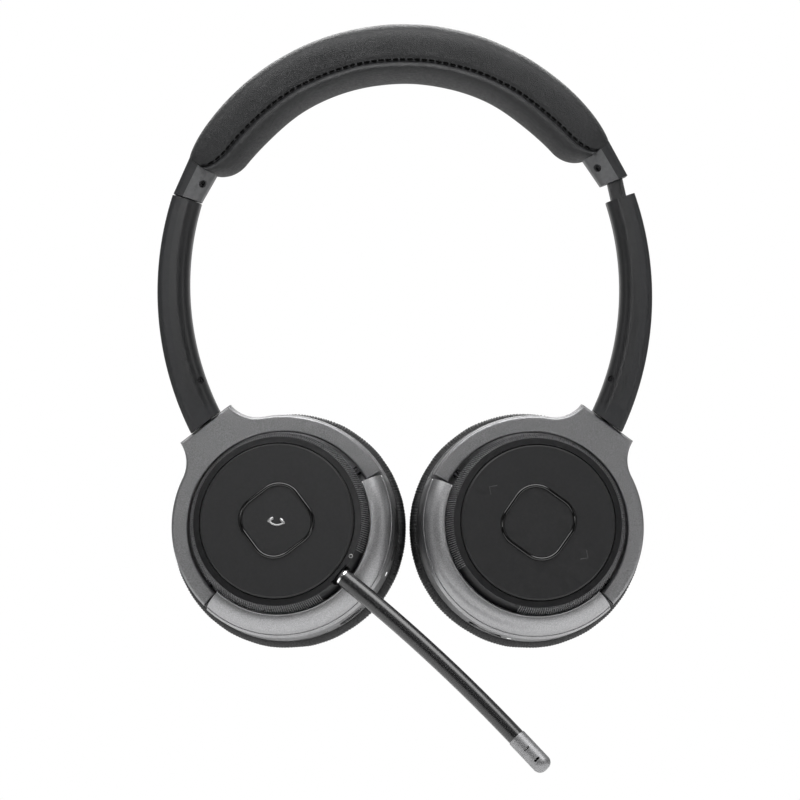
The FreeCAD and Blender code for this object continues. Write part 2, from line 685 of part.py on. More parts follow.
def centre_button():
    """A cap with a wider lip below the bezel and a stem over its switch."""
    cap = rounded_square(BUTTON_HALF, BUTTON_CORNER, FACE_Z - BUTTON_THICKNESS, FACE_Z)
    top = [e for e in cap.Edges if abs(e.BoundBox.ZMin - FACE_Z) < 1e-6]
    cap = cap.makeFillet(0.35, top)
    stem = cylinder(2.0, FACE_Z - BUTTON_THICKNESS - 1.2, FACE_Z - BUTTON_THICKNESS + 0.5)
    return cap.fuse(stem)


def circuit_board():
    """A round board in the hub, with the button's switch on it."""
    board = cylinder(HUB_BORE - 0.2, 9.0, 10.1)
    switch = block(6.0, 6.0, 10.1, 10.65)
    chips = []
    for x, y, size in ((-10, 6, 5.0), (9, -8, 4.0), (2, 13, 3.5)):
        chip = block(size, size, 7.9, 9.0)
        chip.translate(vec(x, y, 0))
        chips.append(chip)
    return board.fuse([switch] + chips)


def baffle():
    top = CUP_BACK
    plate = cylinder(BAFFLE_RADIUS, top - BAFFLE_THICKNESS, top)
    return plate.cut(cylinder(DRIVER_RADIUS, top - 5, top + 5))


def driver():
    """A 38 mm speaker: a frame ring, a domed diaphragm and a magnet pot."""
    low = CUP_BACK - BAFFLE_THICKNESS + 0.4
    return turned([
        (0.001, low + 1.6),
        (6.0, low + 1.4, "middle"),
        (12.0, low + 0.7),
        (15.0, low + 0.5, "middle"),
        (DRIVER_RADIUS, low),
        (DRIVER_RADIUS, low + 2.6),
        (11.0, low + 4.6),
        (11.0, low + DRIVER_DEPTH),
        (0.001, low + DRIVER_DEPTH),
    ])


def ear_cushion():
    """A soft ring, fullest at its outer side, with the ear's hole in the middle."""
    top = CUP_BACK - BAFFLE_THICKNESS
    return turned([
        (MESH_RADIUS + 0.2, top),
        (CUSHION_RADIUS - 2.2, top),
        (CUSHION_RADIUS, -11.8, "middle"),
        (CUSHION_RADIUS - 1.1, -15.8),
        (CUSHION_RADIUS - 3.8, -19.5, "middle"),
        (CUSHION_RADIUS - 8.4, CUSHION_BACK),
        (CUSHION_HOLE + 7.5, CUSHION_BACK),
        (CUSHION_HOLE + 2.4, -19.0, "middle"),
        (CUSHION_HOLE, -14.4),
        (CUSHION_HOLE + 0.5, -11.0, "middle"),
        (MESH_RADIUS, top - MESH_THICKNESS),
    ])


def cushion_mesh():
    """The cloth over the speaker, behind the cushion's hole."""
    top = CUP_BACK - BAFFLE_THICKNESS
    return cylinder(MESH_RADIUS - 0.05, top - MESH_THICKNESS, top)


def battery():
    return block(27.0, 22.0, 3.2, 6.4)


def boom_parts():
    """The boom, in the left cup's frame: ring, socket, tube, tip and microphone."""
    spoke = vec(cos(BOOM_ANGLE), sin(BOOM_ANGLE), 0)
    along = vec(cos(BOOM_ANGLE + BOOM_LEAN), sin(BOOM_ANGLE + BOOM_LEAN), 0)
    root = spoke * BOOM_START + vec(0, 0, BOOM_Z)
    up = vec(0, 0, 1)
    turn_centre = root + along.cross(up) * BOOM_CURVE
    pieces = []
    start = 0.0
    for length in (SOCKET_LENGTH, BOOM_LENGTH):
        disc = Part.Face(Part.Wire(Part.makeCircle(BOOM_RADIUS, root, along)))
        disc.rotate(turn_centre, up, -math.degrees(start / BOOM_CURVE))
        pieces.append(disc.revolve(turn_centre, vec(0, 0, -1), math.degrees(length / BOOM_CURVE)))
        start += length
    near_root = [e for e in pieces[0].Edges if e.Closed and (e.CenterOfMass - root).Length < 0.1]
    pieces[0] = pieces[0].makeChamfer(SOCKET_CHAMFER, near_root)
    tip = cylinder(TIP_RADIUS, 0, TIP_LENGTH)
    rim = [e for e in tip.Edges if abs(e.BoundBox.ZMin - TIP_LENGTH) < 1e-6 and e.Closed]
    tip = tip.makeFillet(TIP_RADIUS * 0.8, rim)
    tip = tip.cut(cylinder(TIP_RADIUS - TIP_WALL, -1, TIP_LENGTH - 1.6))
    for place in MIC_PLACES:
        slot = obround(MIC_SLOT[1], MIC_SLOT[0], 0, 5)
        slot.rotate(vec(0, 0, 0), vec(0, 0, 1), 90)
        slot.rotate(vec(0, 0, 0), vec(0, 1, 0), 90)
        slot.translate(vec(0, 0, place))
        tip = tip.cut(slot)
    capsule = cylinder(TIP_RADIUS - TIP_WALL, 1.5, 5.5)
    frame = FreeCAD.Placement(root, FreeCAD.Rotation(vec(0, 0, 1), up, along, "ZXY"))
    tip = moved(tip, frame)
    capsule = moved(capsule, frame)
    for shape in (tip, capsule):
        shape.rotate(turn_centre, up, -math.degrees(start / BOOM_CURVE))
    notch = moved(cylinder(BOOM_RADIUS + NOTCH_MARGIN, -NOTCH_MARGIN, 12), frame)
    return {
        "boom_ring": dial_solid().cut(notch),
        "boom_socket": pieces[0],
        "boom_tube": pieces[1],
        "boom_tip": tip,
        "mic_capsule": capsule,
    }


def cup_parts(side):
    parts = {
        "cup_shell_" + side: cup_shell(),
        "cup_rim_" + side: cup_rim(side),
        "baffle_" + side: baffle(),
        "driver_" + side: driver(),
        "ear_cushion_" + side: ear_cushion(),
        "cushion_mesh_" + side: cushion_mesh(),
        "face_disc_" + side: face_disc(),
        "button_bezel_" + side: button_bezel(),
        "circuit_board_" + side: circuit_board(),
        "status_led_" + side: led_solid(side),
    }
    if side == "left":
        parts.update(boom_parts())
        parts.update(key_bodies(KEYS_LEFT))
        parts["call_button"] = centre_button()
        parts["usb_port"] = usb_port()
    else:
        parts["volume_ring"] = dial_solid()
        parts.update(key_bodies(KEYS_RIGHT))
        parts["play_button"] = centre_button()
        parts["battery"] = battery()
    place = hanger_placement(SWIVEL_SHORT[side], TILT[side])
    return {node: on_side(moved(shape, place), side) for node, shape in parts.items()}


def main():
    parts = headband_parts()
    for side in ("left", "right"):
        parts.update(arm_parts(side))
        parts.update(yoke_parts(side))
        parts.update(cup_parts(side))
    for node, shape in parts.items():
        save(node, shape)


main()
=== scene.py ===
import json
import math

import bmesh
import bpy
from mathutils import Matrix, Vector, noise


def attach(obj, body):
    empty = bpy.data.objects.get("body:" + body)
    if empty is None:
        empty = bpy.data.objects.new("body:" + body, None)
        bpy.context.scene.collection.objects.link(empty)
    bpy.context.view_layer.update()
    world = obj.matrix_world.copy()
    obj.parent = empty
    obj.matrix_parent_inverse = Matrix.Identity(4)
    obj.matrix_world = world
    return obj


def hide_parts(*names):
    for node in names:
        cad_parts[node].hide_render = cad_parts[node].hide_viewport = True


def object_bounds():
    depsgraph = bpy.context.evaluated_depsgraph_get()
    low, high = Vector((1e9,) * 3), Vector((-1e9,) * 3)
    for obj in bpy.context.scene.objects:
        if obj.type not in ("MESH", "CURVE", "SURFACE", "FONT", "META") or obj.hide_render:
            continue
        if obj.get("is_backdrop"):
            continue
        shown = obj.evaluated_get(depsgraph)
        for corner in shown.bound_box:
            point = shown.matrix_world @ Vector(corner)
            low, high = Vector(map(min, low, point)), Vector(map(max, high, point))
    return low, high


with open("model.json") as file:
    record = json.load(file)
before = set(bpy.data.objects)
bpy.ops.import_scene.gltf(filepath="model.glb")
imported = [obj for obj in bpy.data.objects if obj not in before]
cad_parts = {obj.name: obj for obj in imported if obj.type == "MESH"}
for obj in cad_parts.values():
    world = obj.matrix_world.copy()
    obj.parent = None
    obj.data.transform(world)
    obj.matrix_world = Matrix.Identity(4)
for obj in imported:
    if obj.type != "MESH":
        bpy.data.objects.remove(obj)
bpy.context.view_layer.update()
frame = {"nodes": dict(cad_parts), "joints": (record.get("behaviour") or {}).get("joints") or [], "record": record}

# Office headset. Metres; the frame is the CAD's: +Z up, +Y the ear side, -X the boom's side.
MM = 0.001

# Camera: straight on, with the headset leaning a little anticlockwise.
CAMERA_DISTANCE = 1500 * MM
VIEW_CENTRE = Vector((-3.1, 0.0, -107.5)) * MM
VIEW_WIDTH = 272 * MM
VIEW_ROLL = math.radians(2.3)
SENSOR = 36.0
CLIP_START = 50 * MM

# The stage: a floor disc below the headset, and the surround's brightness in front and behind.
FLOOR_RADIUS = 0.62
FLOOR_MIDDLE = -0.35
FLOOR_DROP = 0.075
FLOOR_SEGMENTS = 128
WORLD_FRONT = 0.05
WORLD_BACK = 0.5
WORLD_BLEND = 0.6

# Lamps: place, the point each is aimed at, width, height, power and spread in degrees.
LIGHTS = {
    "upper": ((-0.1, -1.05, 0.16), (-0.01, 0.0, -0.03), 0.40, 0.20, 0.035, 16.0),
    "top": ((0.0, -0.40, 0.85), (0.0, 0.0, -0.10), 1.6, 0.9, 26.0, 180.0),
    "left": ((-1.0, -0.55, 0.10), (0.0, 0.0, -0.10), 0.35, 0.60, 0.5, 180.0),
    "right": ((1.0, -0.65, 0.10), (0.0, 0.0, -0.10), 0.35, 0.60, 0.9, 180.0),
    "back": ((0.0, 0.90, 0.60), (0.0, 0.0, -0.10), 1.0, 0.5, 7.0, 180.0),
}

# Headband pad, the same crescent as the CAD's. Angles are in degrees from the vertical.
PAD_INNER_RADIUS = 66.0 * MM
PAD_OUTER_RADIUS = 82.8 * MM
PAD_THICKNESS = 19.6 * MM
PAD_END_ANGLE = 60.5
PAD_ROUND_ANGLE = 52.0
PAD_DRAW_IN = (1.3 * MM, 9.8 * MM, 2.2 * MM)
PAD_HALF_TOP = 16.8 * MM
PAD_HALF_END = 11.3 * MM
PAD_SAG = 0.6 * MM
PAD_SAG_ANGLE = 42.0
PAD_SAG_SPREAD = 9.0
PAD_STATIONS = 280
PAD_AROUND = 140
PAD_END_CROWDING = math.radians(80)
PAD_SEAM_CROWDING = 0.42

# The pad's section: a flat upper panel and a full lower one, each a power of the turn, with a seam between.
UPPER_POWER = 0.42
LOWER_POWER = 0.92
LOWER_BULGE = 2.3 * MM
SEAM_SHARE = 0.335
SEAM_CLIMB = 0.045
SEAM_CLIMB_ANGLE = 45.0
SEAM_END_CLIMB = 0.05
SEAM_DEPTH = 0.8 * MM
SEAM_SPREAD = 0.65 * MM

# Unevenness of the leather: puckers close to the seam and slow ripples everywhere.
PUCKER_HEIGHT = 0.22 * MM
PUCKER_SCALE = 520.0
PUCKER_SPREAD = 3.0 * MM
RIPPLE_HEIGHT = 0.25 * MM
RIPPLE_SCALE = 90.0
RIPPLE_LIFT = 0.4

# Stitches along the seams.
STITCH_LENGTH = 1.35 * MM
STITCH_PITCH = 2.45 * MM
STITCH_RADIUS = 0.32 * MM
STITCH_RISE = 0.55 * MM
STITCH_CROWN = 0.15 * MM
STITCH_REACH = 0.985

# Cups, in each cup's own frame: X along the tilt axis, Y to the hanger, Z out of the face.
FACE_Z = 15.0 * MM
RING_TOP = Vector((28.7, 0, 14.0)) * MM
RING_FOOT = Vector((30.6, 0, 8.5)) * MM
RIDGE_COUNT = 252
RIDGE_HEIGHT = 0.42 * MM
RIDGE_HALF_WIDTH = 0.17 * MM
LIP = Vector((31.35, 0, 9.5)) * MM
LIP_RADIUS = 0.26 * MM
BOWL_EDGE = Vector((37.75, 0, 4.95)) * MM
BOWL_EDGE_RADIUS = 0.2 * MM
BOWL_ARC = (-168.5, -11.5)
BOWL_STEPS = 150
BUTTON_HALF = 10.6 * MM
BUTTON_CORNER = 7.2 * MM
CORNER_STEPS = 16
BEZEL_MIDDLE = 0.47 * MM
BEZEL_RADIUS = 0.68 * MM
BEZEL_SINK = 0.12 * MM

# A ridge's stations down the cone: share of the way and share of the full height.
RIDGE_STATIONS = ((0.05, 0.25), (0.14, 1.0), (0.985, 1.0))

# A ridge's section: share of the half width and share of the height.
RIDGE_SECTION = ((-1.0, -0.3), (-0.45, 1.0), (0.45, 1.0), (1.0, -0.3))

# The rings' stretch without ridges: its middle and half its length, in degrees.
SMOOTH_STRETCH = {"left": (-77.3, 19.5), "right": (-89.5, 22.5)}

# Ear cushions, with fine gathers at the outer edge and round the hole.
CUSHION_RADIUS = 39.9 * MM
CUSHION_HOLE = 17.0 * MM
CUSHION_TOP = -8.0 * MM
CUSHION_BACK = -20.6 * MM
CUSHION_SIDE_POWER = 0.55
CUSHION_BACK_POWER = 0.75
CUSHION_SWELL = 0.35 * MM
CUSHION_AROUND = 1080
CUSHION_ROWS = 40
FOLD_COUNT = 260
FOLD_HEIGHT = 0.1 * MM
FOLD_FADE = 1.5
FOLD_UNEVEN = 0.8
FOLD_UNEVEN_SCALE = 14.0
WANDER = 4.0
WANDER_SCALE = 9.0
DRIFT_SCALE = 2.0
DRIFT_STEP = 0.04
LUMP_HEIGHT = 0.2 * MM
LUMP_LIFT = 0.1 * MM
LUMP_SCALE = 5.0
LUMP_STEP = 0.09
TUCK_DEPTH = 1.6 * MM
TUCK_SPREAD = 0.9 * MM

# Marks in the faces, in the cup's X and Y.
STROKE_SINK = 0.35
HANDLE_CENTRE = 1.5 * MM
HANDLE_RADIUS = 3.6 * MM
HANDLE_STROKE = 0.34 * MM
HANDLE_END = 1.4 * MM
HANDLE_END_STROKE = 0.62 * MM
CHEVRON_REACH = 20.5 * MM
CHEVRON_SIZE = 1.8 * MM
CHEVRON_STROKE = 0.17 * MM

# Small holes: angle round the cup, place and direction in the section's plane, and radius.
RING_MARK = (-62.6, Vector((28.2, 0, 14.15)) * MM, Vector((0, 0, 1)), 0.55 * MM)
RIM_MIC = (-104.0, Vector((38.5, 0, -2.4)) * MM, Vector((1, 0, 0)), 0.35 * MM)
HOLE_STEPS = 20
HOLE_EDGE = 0.3
HOLE_FILLING = 0.8
HOLE_DEPTH = 0.3 * MM
HOLE_PROUD = 0.02 * MM

# Rounded ends of a rod: distance past its end and radius, as shares of the rod's radius.
ROD_END = ((0.7, 0.7), (1.0, 0.05))

# Bevels on the hard metal parts.
BEVEL_ANGLE = math.radians(35)
BEVEL_SEGMENTS = 3
BEVEL_WIDTHS = {
    "yoke_left": 0.15 * MM,
    "yoke_right": 0.15 * MM,
    "cup_shell_left": 0.3 * MM,
    "cup_shell_right": 0.3 * MM,
}

# The part of a noise texture's range that most of its values fall in.
NOISE_LOW = 0.3
NOISE_HIGH = 0.7


# Mesh helpers


def mesh_from(name, points, faces):
    """A mesh whose faces all look outwards."""
    mesh = bpy.data.meshes.new(name)
    mesh.from_pydata([tuple(p) for p in points], [], faces)
    tidy = bmesh.new()
    tidy.from_mesh(mesh)
    bmesh.ops.recalc_face_normals(tidy, faces=tidy.faces)
    tidy.to_mesh(mesh)
    tidy.free()
    return mesh


def add_piece(name, points, faces, material, body, smooth=True):
    """Makes an object from points and faces, with a material, riding on a body."""
    mesh = mesh_from(name, points, faces)
    mesh.polygons.foreach_set("use_smooth", [smooth] * len(mesh.polygons))
    mesh.materials.append(MATERIALS[material])
    piece = bpy.data.objects.new(name, mesh)
    bpy.context.scene.collection.objects.link(piece)
    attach(piece, body)
    return piece


def grid_faces(rows, columns, wrap_rows=False):
    """Quads over points stored row by row, each row a closed loop."""
    faces = []
    for row in range(rows if wrap_rows else rows - 1):
        above = (row + 1) % rows
        for column in range(columns):
            beside = (column + 1) % columns
            faces.append((row * columns + column, row * columns + beside,
                          above * columns + beside, above * columns + column))
    return faces


def add_tube_faces(faces, first, rows, columns):
    """Adds the quads and both end faces of a tube whose points start at first."""
    for face in grid_faces(rows, columns):
        faces.append(tuple(first + index for index in face))
    last = first + (rows - 1) * columns
    faces.append(tuple(range(first, first + columns)))
    faces.append(tuple(range(last, last + columns)))


def add_rod(points, faces, path, radius, sides=8, closed=False):
    """Adds a round rod along a path of points; an open rod gets rounded ends."""
    rings = []
    count = len(path)
    for index, spot in enumerate(path):
        before = path[index - 1] if closed or index else spot
        after = path[(index + 1) % count] if closed or index < count - 1 else spot
        rings.append((spot, (after - before).normalized(), radius))
    if not closed:
        start, start_way, _ = rings[0]
        end, end_way, _ = rings[-1]
        for past, size in ROD_END:
            rings.insert(0, (start - start_way * radius * past, start_way, radius * size))
            rings.append((end + end_way * radius * past, end_way, radius * size))
    first = len(points)
    across = rings[0][1].orthogonal().normalized()
    for spot, way, size in rings:
        across = (across - way * across.dot(way)).normalized()
        other = way.cross(across)
        for side in range(sides):
            angle = 2 * math.pi * side / sides
            points.append(spot + (across * math.cos(angle) + other * math.sin(angle)) * size)
    if closed:
        for face in grid_faces(len(rings), sides, wrap_rows=True):
            faces.append(tuple(first + index for index in face))
    else:
        add_tube_faces(faces, first, len(rings), sides)


# Frames read from the joints


def joint(name):
    """A joint's row in the frame."""
    return next(entry for entry in frame["joints"] if entry["name"] == name)


def cup_frame(side):
    """A cup's frame: X the tilt axis, Y to the hanger, Z out of the face; the right one is mirrored."""
    hand = -1 if side == "left" else 1
    press = joint("call_button_press" if side == "left" else "play_button_press")
    tilt = joint("cup_%s_tilt" % side)
    x_axis = Vector(tilt["axis"]) * hand
    z_axis = -Vector(press["axis"])
    y_axis = z_axis.cross(x_axis) * -hand
    basis = Matrix((x_axis, y_axis, z_axis)).transposed().to_4x4()
    basis.translation = Vector(tilt["pos_m"])
    return basis


def on_circle(radius, degrees, z):
    """A point at an angle round the Z axis."""
    angle = math.radians(degrees)
    return Vector((radius * math.cos(angle), radius * math.sin(angle), z))


# Materials


def map_range(tree, value, low, high, out_low, out_high):
    """Maps a value from one range to another, in a tree of nodes."""
    node = tree.nodes.new("ShaderNodeMapRange")
    for socket, number in zip(node.inputs[1:5], (low, high, out_low, out_high)):
        socket.default_value = number
    tree.links.new(value, node.inputs[0])
    return node.outputs[0]


class Shader:
    """A material's nodes, with short calls for what these materials share. Scales are per metre."""

    def __init__(self, name, colour, roughness, metallic=0.0, specular=0.5):
        self.material = bpy.data.materials.new(name)
        self.material.use_nodes = True
        self.nodes = self.material.node_tree.nodes
        self.links = self.material.node_tree.links
        self.shader = self.nodes["Principled BSDF"]
        self.colour = colour
        self.set("Base Color", (*colour, 1.0))
        self.set("Roughness", roughness)
        self.set("Metallic", metallic)
        self.set("Specular IOR Level", specular)
        self.place = self.nodes.new("ShaderNodeTexCoord").outputs["Object"]
        self.normal = None

    def set(self, socket, value):
        self.shader.inputs[socket].default_value = value

    def noise(self, scale, detail=2.0, roughness=0.5, place=None):
        node = self.nodes.new("ShaderNodeTexNoise")
        node.inputs["Scale"].default_value = scale
        node.inputs["Detail"].default_value = detail
        node.inputs["Roughness"].default_value = roughness
        self.links.new(place or self.place, node.inputs["Vector"])
        return node.outputs["Fac"]

    def cells(self, scale, feature="DISTANCE_TO_EDGE"):
        node = self.nodes.new("ShaderNodeTexVoronoi")
        node.feature = feature
        node.inputs["Scale"].default_value = scale
        self.links.new(self.place, node.inputs["Vector"])
        return node.outputs["Distance"]

    def range(self, value, low, high, out_low, out_high):
        return map_range(self.material.node_tree, value, low, high, out_low, out_high)

    def vary_colour(self, value, low, high, start=NOISE_LOW, end=NOISE_HIGH):
        """Multiplies the base colour by low to high as value goes from start to end."""
        node = self.nodes.new("ShaderNodeMix")
        node.data_type = "RGBA"
        node.inputs[6].default_value = (*[c * low for c in self.colour], 1.0)
        node.inputs[7].default_value = (*[min(1.0, c * high) for c in self.colour], 1.0)
        self.links.new(self.range(value, start, end, 0.0, 1.0), node.inputs[0])
        self.links.new(node.outputs[2], self.shader.inputs["Base Color"])

    def vary_roughness(self, value, low, high):
        spread = self.range(value, NOISE_LOW, NOISE_HIGH, low, high)
        self.links.new(spread, self.shader.inputs["Roughness"])

    def bump(self, value, distance, strength=1.0):
        node = self.nodes.new("ShaderNodeBump")
        node.inputs["Distance"].default_value = distance
        node.inputs["Strength"].default_value = strength
        self.links.new(value, node.inputs["Height"])
        if self.normal is not None:
            self.links.new(self.normal, node.inputs["Normal"])
        self.normal = node.outputs["Normal"]
        self.links.new(self.normal, self.shader.inputs["Normal"])


def moulded_plastic(name, colour, roughness, grain, specular):
    """Moulded plastic with a fine spark-eroded texture."""
    shade = Shader(name, colour, roughness, specular=specular)
    shade.vary_colour(shade.noise(scale=900.0, detail=3.0, roughness=0.7), low=0.85, high=1.18)
    shade.vary_roughness(shade.noise(scale=700.0), low=roughness - 0.05, high=roughness + 0.06)
    shade.bump(shade.noise(scale=3200.0, detail=2.0), distance=grain, strength=0.7)
    return shade.material


def flaked_paint(name, colour):
    """Satin gunmetal paint with fine metallic flake."""
    shade = Shader(name, colour, 0.4, metallic=1.0)
    shade.vary_colour(shade.noise(scale=3800.0, detail=2.0, roughness=0.7), low=0.7, high=1.36)
    shade.vary_roughness(shade.noise(scale=2600.0, detail=2.0), low=0.36, high=0.46)
    shade.bump(shade.cells(scale=5200.0, feature="F1"), distance=0.02 * MM, strength=0.4)
    return shade.material


def leather(name, colour, grain_scale, grain):
    """Leatherette: pebbled grain with a soft gloss on the pebbles, and faint long creases."""
    shade = Shader(name, colour, 0.45, specular=0.36)
    pebbles = shade.range(shade.cells(scale=grain_scale), 0.0, 0.25, 0.0, 1.0)
    shade.vary_colour(shade.noise(scale=1500.0, detail=3.0, roughness=0.7), low=0.72, high=1.3)
    shade.vary_roughness(shade.noise(scale=1200.0, detail=2.0), low=0.34, high=0.56)
    shade.bump(shade.noise(scale=140.0, detail=3.0), distance=0.3 * MM, strength=0.3)
    shade.bump(pebbles, distance=grain, strength=0.8)
    return shade


def gathered_leather():
    """The cushions' leatherette, with fine folds that run from the plate towards the ear."""
    shade = leather("cushion_leatherette", (0.007, 0.007, 0.0075), grain_scale=1900.0, grain=0.05 * MM)
    stretch = shade.nodes.new("ShaderNodeMapping")
    stretch.inputs["Scale"].default_value = (330.0, 3.0, 1.0)
    flat = shade.nodes.new("ShaderNodeTexCoord").outputs["UV"]
    shade.links.new(flat, stretch.inputs["Vector"])
    folds = shade.noise(scale=1.0, detail=2.0, roughness=0.6, place=stretch.outputs[0])
    shade.bump(folds, distance=0.35 * MM, strength=0.9)
    return shade.material


def woven_mesh():
    """Acoustic cloth: crossing threads."""
    shade = Shader("mesh_fabric", (0.03, 0.03, 0.032), 0.8)
    waves = []
    for direction in ("X", "Z"):
        wave = shade.nodes.new("ShaderNodeTexWave")
        wave.bands_direction = direction
        wave.inputs["Scale"].default_value = 500.0
        shade.links.new(shade.place, wave.inputs["Vector"])
        waves.append(wave.outputs["Fac"])
    both = shade.nodes.new("ShaderNodeMath")
    both.operation = "MULTIPLY"
    shade.links.new(waves[0], both.inputs[0])
    shade.links.new(waves[1], both.inputs[1])
    shade.vary_colour(both.outputs[0], low=0.4, high=1.8, start=0.0, end=1.0)
    shade.bump(both.outputs[0], distance=0.2 * MM, strength=0.8)
    return shade.material


def polished(name, colour, roughness, metallic):
    """Smooth metal or gloss trim, with faint handling marks in its gloss."""
    shade = Shader(name, colour, roughness, metallic)
    shade.vary_roughness(shade.noise(scale=240.0, detail=4.0), low=roughness * 0.8, high=roughness * 1.4)
    shade.vary_colour(shade.noise(scale=80.0), low=0.95, high=1.05)
    return shade.material


def satin(name, colour, roughness, metallic, specular):
    """An even, fine satin finish."""
    shade = Shader(name, colour, roughness, metallic, specular=specular)
    shade.vary_roughness(shade.noise(scale=400.0), low=roughness * 0.95, high=roughness * 1.05)
    shade.vary_colour(shade.noise(scale=600.0), low=0.95, high=1.05)
    return shade.material


def circuit():
    """Green board with darker tracks."""
    shade = Shader("circuit_green", (0.02, 0.09, 0.045), 0.35)
    shade.vary_colour(shade.cells(scale=320.0, feature="F1"), low=0.6, high=1.6, start=0.0, end=1.0)
    shade.bump(shade.cells(scale=320.0), distance=0.05 * MM, strength=0.5)
    return shade.material


def led_lens():
    """A small lens, faintly lit."""
    shade = Shader("led_white", (0.8, 0.8, 0.8), 0.2)
    shade.vary_colour(shade.noise(scale=500.0), low=0.95, high=1.05)
    shade.set("Emission Color", (1.0, 1.0, 1.0, 1.0))
    shade.set("Emission Strength", 0.4)
    return shade.material


# Moulded plastics: colour, roughness, depth of the grain and specular level.
PLASTICS = {
    "foam": ((0.10, 0.10, 0.10), 0.9, 0.03 * MM, 0.5),
    "arm_plastic": ((0.013, 0.0134, 0.0145), 0.4, 0.03 * MM, 0.4),
    # A lighter copy of the black plastic: a painted highlight over the collar bodies.
    "collar_plastic_painted_highlight": ((0.07, 0.071, 0.073), 0.36, 0.03 * MM, 0.5),
    "cover_plastic": ((0.0095, 0.0097, 0.0103), 0.33, 0.03 * MM, 0.5),
    "rail_plastic": ((0.022, 0.022, 0.023), 0.4, 0.03 * MM, 0.5),
    "rim_plastic": ((0.006, 0.006, 0.0062), 0.5, 0.03 * MM, 0.25),
    "face_plastic": ((0.0115, 0.0115, 0.012), 0.45, 0.015 * MM, 0.3),
    "button_black": ((0.0125, 0.0125, 0.013), 0.42, 0.012 * MM, 0.32),
    "knurled_plastic": ((0.0065, 0.0065, 0.007), 0.34, 0.01 * MM, 0.35),
    # Lighter than the ring's own plastic: a painted highlight on the knurl's ridges.
    "painted_highlight_ridge_plastic": ((0.14, 0.14, 0.143), 0.3, 0.005 * MM, 0.5),
    "driver_black": ((0.02, 0.02, 0.024), 0.5, 0.03 * MM, 0.5),
    "thread": ((0.0015, 0.0015, 0.0015), 0.9, 0.01 * MM, 0.05),
}

# Polished metal and gloss trim: colour, roughness and metallic share.
POLISHED = {
    "spring_steel": ((0.45, 0.46, 0.5), 0.3, 1.0),
    "screw_steel": ((0.05, 0.05, 0.052), 0.25, 1.0),
    # A darker copy of the cups' gunmetal: painted shade over the rims.
    "rim_metal_painted_shade": ((0.1, 0.1, 0.103), 0.36, 0.9),
    "gloss_black": ((0.002, 0.002, 0.002), 0.05, 0.0),
    "bright_steel": ((0.85, 0.85, 0.85), 0.15, 1.0),
    "battery_silver": ((0.6, 0.6, 0.62), 0.35, 1.0),
    "capsule_metal": ((0.5, 0.5, 0.5), 0.35, 1.0),
    # A painted highlight: grey that stands for the glint on embossed strokes and on pinhole edges.
    "painted_highlight_grey": ((0.34, 0.34, 0.34), 0.3, 0.8),
    # Painted shade: a black plug that stands for the dark inside of a pinhole.
    "painted_shade_black": ((0.004, 0.004, 0.004), 0.2, 0.0),
}

# Even satin finishes: colour, roughness, metallic share and specular level.
SATINS = {
    "boom_plastic": ((0.0065, 0.0065, 0.007), 0.27, 0.0, 0.7),
    "tip_metal": ((0.25, 0.25, 0.255), 0.46, 0.9, 0.5),
}

# Paints with metallic flake: colour.
FLAKED_PAINTS = {
    "gunmetal": (0.29, 0.29, 0.295),
    # A darker copy of the gunmetal paint: painted shade over the yokes.
    "yoke_gunmetal_painted_shade": (0.225, 0.225, 0.229),
}

MATERIALS = {
    "leatherette": leather("leatherette", (0.0105, 0.0108, 0.0115), grain_scale=2000.0,
                           grain=0.08 * MM).material,
    "cushion_leatherette": gathered_leather(),
    "mesh_fabric": woven_mesh(),
    "circuit_green": circuit(),
    "led_white": led_lens(),
}
for name, look in PLASTICS.items():
    MATERIALS[name] = moulded_plastic(name, *look)
for name, look in POLISHED.items():
    MATERIALS[name] = polished(name, *look)
for name, look in SATINS.items():
    MATERIALS[name] = satin(name, *look)
for name, colour in FLAKED_PAINTS.items():
    MATERIALS[name] = flaked_paint(name, colour)

# Nodes that wear another material than their slot's own.
FINISHES = {
    "call_button": "button_black",
    "play_button": "button_black",
    # The collars' lighter plastic is a painted highlight.
    "collar_body_left": "collar_plastic_painted_highlight",
    "collar_body_right": "collar_plastic_painted_highlight",
    "boom_tip": "tip_metal",
    # The rims' darker metal is painted shade on the cups' gunmetal.
    "cup_rim_left": "rim_metal_painted_shade",
    "cup_rim_right": "rim_metal_painted_shade",
    # The yokes' darker gunmetal is painted shade.
    "yoke_left": "yoke_gunmetal_painted_shade",
    "yoke_right": "yoke_gunmetal_painted_shade",
}


def soften(node, width):
    """Rounds a hard part's edges, so that they catch the light."""
    bevel = node.modifiers.new("soft_edges", "BEVEL")
    bevel.limit_method = "ANGLE"
    bevel.angle_limit = BEVEL_ANGLE
    bevel.width = width
    bevel.segments = BEVEL_SEGMENTS
    bevel.harden_normals = True


def dress_cad_nodes():
    """Gives each carried-over CAD node its slot's finished material."""
    for entry in frame["record"]["subparts"]:
        name = entry["node"]
        node = frame["nodes"][name]
        node.data.materials.clear()
        node.data.materials.append(MATERIALS[FINISHES.get(name, entry["material_slot"])])
        if name in BEVEL_WIDTHS:
            soften(node, BEVEL_WIDTHS[name])


# Headband pad


def pad_rounding(angle):
    """How far the pad has rounded off towards its end, from 0 to 1."""
    past = max(0.0, abs(angle) - PAD_ROUND_ANGLE) / (PAD_END_ANGLE - PAD_ROUND_ANGLE)
    return 1 - math.sqrt(max(0.0, 1 - min(1.0, past) ** 2))


